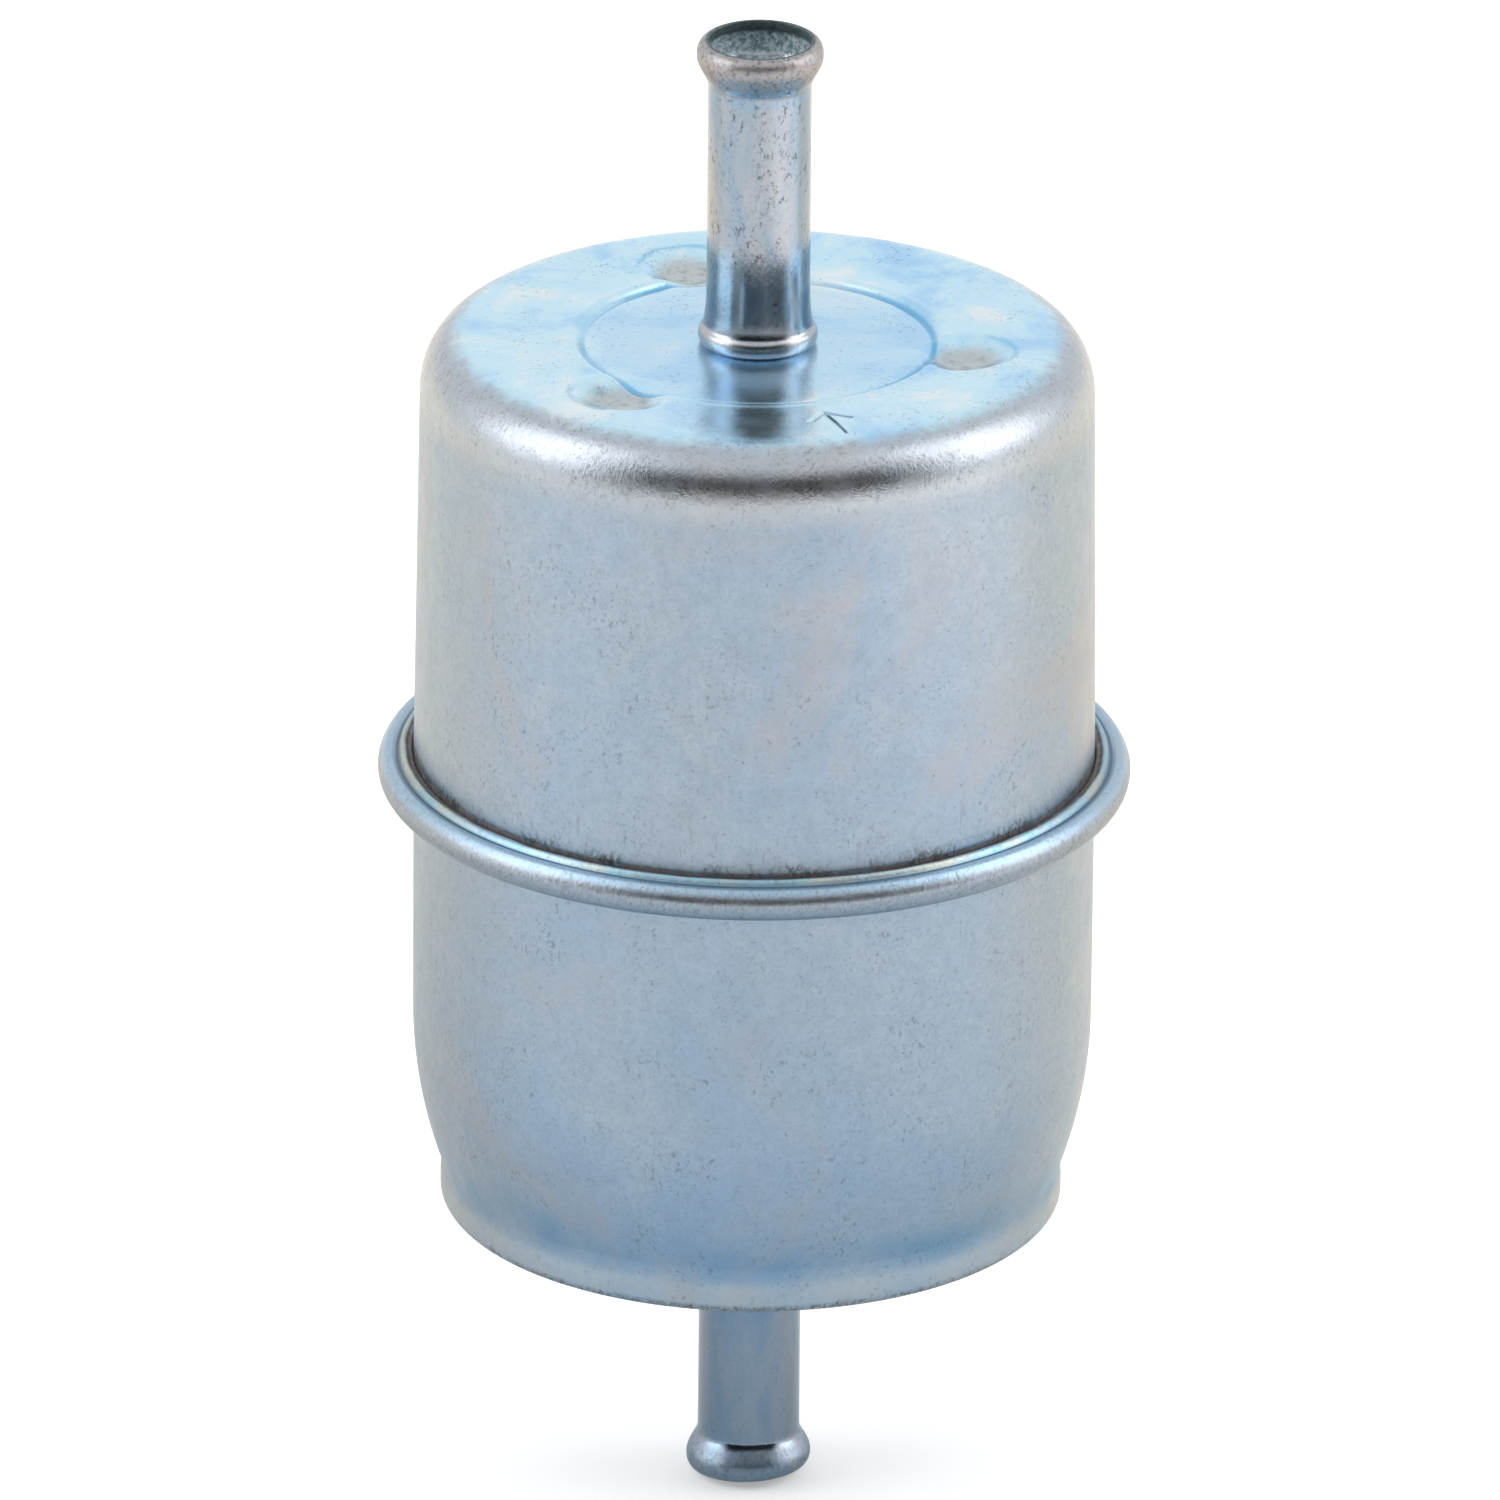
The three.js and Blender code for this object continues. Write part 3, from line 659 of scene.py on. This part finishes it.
def paint_marks(n, at, color):
    """Scuffs and specks all over, and short upright marks on the wall above the seam."""
    scuffs = n.noise(n.stretched(at.point, 1, 1, 0.7), scale=2.6, detail=4.0, rough=0.7)
    where = n.noise(at.point, scale=0.234, detail=2.0, rough=0.5)
    scuffs = n.math("MULTIPLY", n.step(scuffs, 0.57, 0.63), n.step(where, 0.46, 0.66), clamp=True)
    color = n.paint(color, SCUFF, scuffs, 0.42)
    color = n.paint(color, CUP_SPECK, n.step(n.noise(at.point, scale=2.4, rough=0.6), 0.64, 0.72), 0.4)
    drawn = n.product(n.band(at.z, SEAM_HALF, SEAM_HALF + 3.5, 1.0),
                      n.step(at.radius, BODY_RADIUS + 0.2, BODY_RADIUS))
    draw = n.noise(at.round_the_axis(n, 0.12), scale=3.0, rough=0.6)
    return n.paint(color, DRAWN_MARK, drawn, n.step(draw, 0.61, 0.7), 0.35)


def zinc_cup():
    made, n = material("zinc_cup")
    at = CupPlace(n)
    face_edge = n.wander(at.radius, at.ragged, 1.6)
    on_face = n.product(n.step(at.z, CREST - 2.4, CREST - 1.4),
                        n.step(face_edge, FACE_EDGE + 1.0, FACE_EDGE - 1.0))
    shoulder = n.product(n.step(at.z, CREST - 6.5, CREST - 4.0), n.math("SUBTRACT", 1.0, on_face))
    on_roll = n.product(n.step(at.radius, LIP_INSIDE - 0.1, LIP_INSIDE + 0.05),
                        n.band(at.z, -SEAM_HALF - 0.3, SEAM_HALF + 1, 0.1))
    dirt_and_shade_line = n.wander(at.z, at.ragged, 1.3)
    crevice = n.product(
        n.step(at.radius, LIP_INSIDE + 0.12, LIP_INSIDE - 0.08),
        n.step(at.radius, BODY_RADIUS - 0.7, BODY_RADIUS - 0.4),
        n.step(dirt_and_shade_line, SEAM_HALF + 0.12, SEAM_HALF - 0.3),
        n.step(at.z, -SEAM_HALF, 0.0),
    )
    color = paint_walls(n, at)
    color = paint_end_face(n, at, color, on_face)
    color = paint_shoulder(n, at, color, shoulder)
    color = paint_roll(n, at, color, on_roll)
    color = paint_bare_steel_and_foot_shade(n, at, color, crevice, dirt_and_shade_line)
    color = paint_marks(n, at, color)
    rough = n.step(n.noise(at.point, scale=0.4, detail=4.0, rough=0.6), 0.3, 0.7, 0.3, 0.38)
    for zone, change in ((on_face, -0.15), (shoulder, -0.07), (crevice, 0.25)):
        rough = n.math("ADD", rough, n.math("MULTIPLY", zone, change))
    grain = n.noise(at.point, scale=4.2, detail=4.0, rough=0.7)
    waves = n.noise(at.point, scale=0.5, detail=2.0, rough=0.5)
    height = n.math("ADD", n.math("MULTIPLY", grain, 0.5), waves)
    rubbed = n.math("MULTIPLY", n.math("ADD", shoulder, on_roll), 1.1)
    scratches = n.math("ADD", n.math("MULTIPLY", at.strokes, 0.5), at.fine)
    height = n.math("ADD", height, n.product(scratches, rubbed))
    metallic = n.math("SUBTRACT", 1.0, n.math("MULTIPLY", on_face, 0.08))
    metallic = n.math("SUBTRACT", metallic, n.math("MULTIPLY", crevice, 0.6))
    finish_material(n, color, rough, height, metallic, strength=0.4, distance=0.07)
    return made


# ---- the tubes' zinc plate ------------------------------------------------------------------------
TUBE_BLUE, TUBE_GREY, TUBE_GRIT = "8fa0b1", "a9acb3", "838d97"
BEAD_PALE, BEAD_WORN, BEAD_REFLECTION_BLUE = "aaa5a5", "6a6664", "7fa9cf"
BORE_PALE, BORE_DARK, MOUTH_SHADE = "d8e9ec", "7797a0", "3c474c"
TUBE_STREAK, TUBE_SPECK = "3f4349", "4a4646"
COLLAR_PALE, ROOT_REFLECTION_BLUE, OUTLET_SHADE = "bdbcbc", "4f6272", "6f8aa3"


def paint_bead(n, at, color, ragged, bead):
    """The hose bead, paler on the inlet and worn on both, and a painted reflection, a blue band below the
    inlet's bead.
    """
    on_inlet = n.step(at.z, 0.0, 1.0)
    color = n.paint(color, BEAD_PALE, bead, on_inlet, n.step(ragged, 0.25, 0.6, 0.45, 1.0))
    color = n.paint(color, BEAD_WORN, bead, n.step(ragged, 0.5, 0.64), 0.6)
    # painted reflection: a blue band below the inlet's bead
    return n.paint(color, BEAD_REFLECTION_BLUE, n.band(at.z, TIP - 4.3, TIP - 3.9, 0.3), 0.35)


def paint_bore(n, at, color, ragged, tip, inside):
    """Light passivation inside, with a painted shade, a dark ring just under the rim."""
    lining = n.mix(n.step(ragged, 0.4, 0.62), srgb(BORE_PALE), srgb(BORE_DARK))
    color = n.mix(n.math("MULTIPLY", inside, 0.85), color, lining)
    # painted shade: a dark ring inside the mouth, under the rim
    return n.paint(color, MOUTH_SHADE, inside, n.step(tip, TIP - 1.15, TIP - 0.7), 0.9)


def paint_streaks(n, at, color):
    """Dark streaks along the tube, more of them on the inlet, and specks."""
    fine = n.noise(n.stretched(at.point, 1, 1, 0.7), scale=2.2, detail=6.0, rough=0.85)
    where = n.noise(n.stretched(at.point, 1, 1, 0.3), scale=0.45, rough=0.6)
    more_on_inlet = n.step(at.z, 0.0, 1.0, 0.25, 1.0)
    color = n.paint(color, TUBE_STREAK, n.step(fine, 0.53, 0.62), n.step(where, 0.43, 0.58),
                    more_on_inlet, 0.8)
    specks = n.noise(at.point, scale=4.0, detail=2.0, rough=0.6)
    return n.paint(color, TUBE_SPECK, n.step(specks, 0.68, 0.74), 0.6)


def zinc_tube():
    made, n = material("zinc_tube")
    at = Place(n)
    tip = n.math("ABSOLUTE", at.z)
    ragged = n.noise(at.point, scale=2.6, detail=4.0, rough=0.7)
    bead = n.product(n.step(tip, TIP - 3.4, TIP - 2.6),
                     n.step(at.radius, TUBE_RADIUS - 0.07, TUBE_RADIUS + 0.13))
    in_bore = n.step(at.radius, TUBE_RADIUS - 0.2, TUBE_RADIUS - 0.4)
    in_bead = n.product(n.step(at.radius, TUBE_RADIUS + 0.3, TUBE_RADIUS + 0.15),
                        n.step(tip, TIP - 2.7, TIP - 2.5))
    inside = n.math("MAXIMUM", in_bore, in_bead)
    collar = n.product(n.band(at.z, INLET_FACE - 0.5, INLET_FACE + 1.5, 0.3),
                       n.step(at.radius, TUBE_RADIUS + 0.08, TUBE_RADIUS + 0.33))
    cloud = n.noise(n.stretched(at.point, 1, 1, 0.25), scale=0.35, detail=4.0, rough=0.6, distortion=0.4)
    color = n.mix(n.step(cloud, 0.38, 0.64), srgb(TUBE_BLUE), srgb(TUBE_GREY))
    grit = n.noise(at.point, scale=2.8, detail=4.0, rough=0.75)
    color = n.paint(color, TUBE_GRIT, n.step(grit, 0.48, 0.74, 0.0, 0.4))
    color = paint_bead(n, at, color, ragged, bead)
    color = paint_bore(n, at, color, ragged, tip, inside)
    color = paint_streaks(n, at, color)
    color = n.paint(color, COLLAR_PALE, collar, n.step(ragged, 0.3, 0.6, 0.3, 0.7))
    # painted reflection: dark blue low on the inlet tube, just above the collar
    root = n.product(n.step(at.z, INLET_FACE + 8.5, INLET_FACE + 6.5),
                     n.step(at.z, INLET_FACE + 1.4, INLET_FACE + 1.9))
    color = n.paint(color, ROOT_REFLECTION_BLUE, root, 0.4)
    # painted shade: the outlet tube, low under the body, darker and bluer
    color = n.paint(color, OUTLET_SHADE, n.step(at.z, 0.0, -1.0, 0.0, 0.3))
    rough = n.step(cloud, 0.3, 0.7, 0.11, 0.18)
    for zone, change in ((bead, 0.26), (collar, 0.14), (inside, 0.2)):
        rough = n.math("ADD", rough, n.math("MULTIPLY", zone, change))
    grain = n.noise(n.stretched(at.point, 1, 1, 0.5), scale=4.0, detail=4.0, rough=0.7)
    height = n.math("ADD", n.math("MULTIPLY", grain, 0.6), n.product(ragged, bead, 2.0))
    metallic = n.step(inside, 0.0, 1.0, 1.0, 0.2)
    finish_material(n, color, rough, height, metallic, strength=0.35, distance=0.05)
    return made


# ---- the inner pieces' materials ------------------------------------------------------------------
def plain_metal(name, light, dark, rough):
    made, n = material(name)
    at = Place(n)
    cloud = n.noise(at.point, scale=0.6, detail=4.0, rough=0.6)
    color = n.mix(n.step(cloud, 0.35, 0.65), srgb(light), srgb(dark))
    roughness = n.step(cloud, 0.3, 0.7, rough - 0.06, rough + 0.08)
    grain = n.noise(at.point, scale=6.0)
    finish_material(n, color, roughness, grain, metallic=1.0, strength=0.3, distance=0.03)
    return made


def dull(name, light, dark, rough, scale):
    """Paper, adhesive or rubber."""
    made, n = material(name)
    at = Place(n)
    fibre = n.noise(n.stretched(at.point, 1, 1, 3), scale, detail=5.0, rough=0.7, distortion=0.5)
    color = n.mix(n.step(fibre, 0.35, 0.65), srgb(light), srgb(dark))
    roughness = n.step(fibre, 0.3, 0.7, rough - 0.08, rough)
    finish_material(n, color, roughness, fibre, metallic=0.0, strength=0.5, distance=0.06)
    return made


def dress_inner_pieces():
    """The inner pieces are the CAD's own meshes, each with the material of its slot."""
    materials = {
        "tinplate": plain_metal("tinplate", "b9bcbd", "9da2a6", rough=0.35),
        "braze": plain_metal("braze", "b87346", "8c5a3c", rough=0.42),
        "filter_paper": dull("filter_paper", "dccb98", "c7b078", rough=0.95, scale=1.2),
        "adhesive": dull("adhesive", "7c8c63", "65754f", rough=0.6, scale=0.6),
        "gasket_rubber": dull("gasket_rubber", "232427", "17181a", rough=0.75, scale=1.0),
    }
    for part in frame["record"]["subparts"]:
        if part["material_slot"] in materials:
            mesh = frame["nodes"][part["node"]].data
            mesh.materials.clear()
            mesh.materials.append(materials[part["material_slot"]])


# ---- the camera, in metres ------------------------------------------------------------------------
CAMERA_ELEVATION = math.radians(22.23)
CAMERA_DISTANCE = 1.45
FRAME_WIDTH = 0.11574  # what the picture takes in, across, at the object
AIM_RIGHT = -0.33 * MM
AIM_UP = 0.97 * MM
CAMERA_ROLL = math.radians(0.49)
SENSOR_WIDTH = 36  # of the camera's film, in millimetres


def add_camera():
    data = bpy.data.cameras.new("camera")
    data.sensor_width = SENSOR_WIDTH
    data.lens = SENSOR_WIDTH * CAMERA_DISTANCE / FRAME_WIDTH
    camera = bpy.data.objects.new("camera", data)
    bpy.context.collection.objects.link(camera)
    back = Vector((0, -math.cos(CAMERA_ELEVATION), math.sin(CAMERA_ELEVATION)))
    up = Vector((0, math.sin(CAMERA_ELEVATION), math.cos(CAMERA_ELEVATION)))
    camera.location = back * CAMERA_DISTANCE + Vector((1, 0, 0)) * AIM_RIGHT + up * AIM_UP
    camera.rotation_mode = "QUATERNION"
    camera.rotation_quaternion = (-back).to_track_quat("-Z", "Y") @ Quaternion((0, 0, 1), CAMERA_ROLL)
    bpy.context.scene.camera = camera


# ---- the studio, in metres ------------------------------------------------------------------------
FLOOR_REACH = 4.0
FLOOR_GAP = 0.0002
FLOOR_GLOW = 0.32
# the floor's tints in reflections: a painted shadow, darker near the object, warmer behind it, and a painted
# pool of light to its right
NEAR_SHADOW, MIDDLE, FAR = (0.43, 0.56, 0.66), (0.66, 0.73, 0.78), (0.97, 0.95, 0.91)
BACK_LEFT_SHADOW, BACK_LEFT_FAR = (0.62, 0.58, 0.52), (0.86, 0.79, 0.67)
BACK_RIGHT, BACK_FAR = (0.88, 0.8, 0.67), (0.94, 0.88, 0.77)
LIGHT_POOL_RIGHT = (1.22, 1.18, 1.14)
WHITE, BLACK = (1, 1, 1), (0, 0, 0)
# the world's light all round, what a softbox adds to it, and how much of it the dark room takes away
STUDIO_LIGHT = 0.98
SOFTBOX_LIGHT = 2.1
ROOM_DARKNESS = 0.97
ROOM_SIDE_DEG = 5  # the room's middle is this far to the right of the camera


def floor_tint(n):
    x, y, _ = n.add("ShaderNodeSeparateXYZ", {0: n.add("ShaderNodeTexCoord").outputs["Object"]}).outputs
    away = n.hypot(x, y)
    # painted shadow: the floor darker near the object, in reflections
    front = n.mix(n.step(away, 0.02, 0.11), NEAR_SHADOW, MIDDLE)
    front = n.mix(n.step(away, 0.13, 0.25), front, FAR)
    left = n.mix(n.step(away, 0.08, 0.22), BACK_LEFT_SHADOW, BACK_LEFT_FAR)
    back = n.mix(n.step(x, -0.05, 0.05), left, BACK_RIGHT)
    back = n.mix(n.step(away, 0.22, 0.3), back, BACK_FAR)
    tint = n.mix(n.step(y, -0.06, 0.06, 0.0, 0.9), front, back)
    # painted light: a brighter pool on the floor to the right, in reflections
    right = n.product(n.step(x, 0.1, 0.2), n.step(away, 0.2, 0.26), n.step(y, 0.06, 0.0))
    return n.mix(right, tint, LIGHT_POOL_RIGHT)


def floor_material():
    """White to the camera. In reflections it is tinted, with a painted shadow round the object and a painted
    pool of light to its right.
    """
    made, n = material("floor")
    shade = n.mix(n.add("ShaderNodeLightPath").outputs["Is Camera Ray"], floor_tint(n), WHITE)
    shader = n.add("ShaderNodeBsdfPrincipled", {
        "Base Color": n.mix(0.1, shade, BLACK), "Roughness": 0.9, "Emission Color": shade,
        "Emission Strength": FLOOR_GLOW})
    # see-through from underneath, so that the outlet end can be looked at
    below = n.add("ShaderNodeNewGeometry").outputs["Backfacing"]
    clear = n.add("ShaderNodeBsdfTransparent").outputs[0]
    seen = n.add("ShaderNodeMixShader", {0: below, 1: shader.outputs[0], 2: clear})
    n.add("ShaderNodeOutputMaterial", {0: seen.outputs[0]})
    return made


def add_floor():
    z = low.z * MM - FLOOR_GAP
    corners = [(x * FLOOR_REACH, y * FLOOR_REACH, z) for x, y in ((-1, -1), (1, -1), (1, 1), (-1, 1))]
    mesh = bpy.data.meshes.new("floor")
    mesh.from_pydata(corners, [], [(0, 1, 2, 3)])
    floor = bpy.data.objects.new("floor", mesh)
    bpy.context.collection.objects.link(floor)
    mesh.materials.append(floor_material())


def add_world():
    """A white studio, with a dark room behind the camera between two softboxes."""
    world = bpy.data.worlds.new("studio")
    world.use_nodes = True
    bpy.context.scene.world = world
    n = Nodes(world.node_tree)

    def fall(angle, from_deg, to_deg):
        return n.step(angle, math.radians(from_deg), math.radians(to_deg))

    x, y, z = n.add("ShaderNodeSeparateXYZ", {0: n.add("ShaderNodeTexCoord").outputs["Generated"]}).outputs
    side = n.math("ARCTAN2", x, n.math("MULTIPLY", y, -1.0))
    rise = n.math("ARCSINE", z)
    off_middle = n.math("ABSOLUTE", n.math("SUBTRACT", side, math.radians(ROOM_SIDE_DEG)))
    room = n.product(fall(off_middle, 62, 50), fall(rise, 42, 30))
    boxes_across = n.product(fall(off_middle, 62, 72), fall(off_middle, 112, 98))
    boxes_up = n.product(fall(rise, 4, 12), fall(rise, 60, 48))
    light = n.math("ADD", STUDIO_LIGHT, n.product(boxes_across, boxes_up, SOFTBOX_LIGHT))
    light = n.math("MULTIPLY", light, n.math("SUBTRACT", 1.0, n.math("MULTIPLY", room, ROOM_DARKNESS)))
    shader = n.add("ShaderNodeBackground", {"Color": (1, 1, 1, 1), "Strength": light})
    n.add("ShaderNodeOutputWorld", {0: shader.outputs[0]})


# ---- the scene ------------------------------------------------------------------------------------
add_camera()
add_floor()
add_world()
bpy.context.scene.view_settings.view_transform = "Standard"

cup_zinc = zinc_cup()
tube_zinc = zinc_tube()
clad(inlet_cup(), "inlet_shell", cup_zinc)
clad(outlet_cup(), "outlet_shell", cup_zinc)
inlet_tube = hose_tube("inlet_hose_tube", INLET_FACE, 1, INLET_TIP_SKEW, INLET_LOW_SIDE)
clad(inlet_tube, "inlet_tube", tube_zinc)
outlet_tube = hose_tube("outlet_hose_tube", -OUTLET_FACE, -1, OUTLET_TIP_SKEW, OUTLET_LOW_SIDE)
clad(outlet_tube, "outlet_tube", tube_zinc)
dress_inner_pieces()
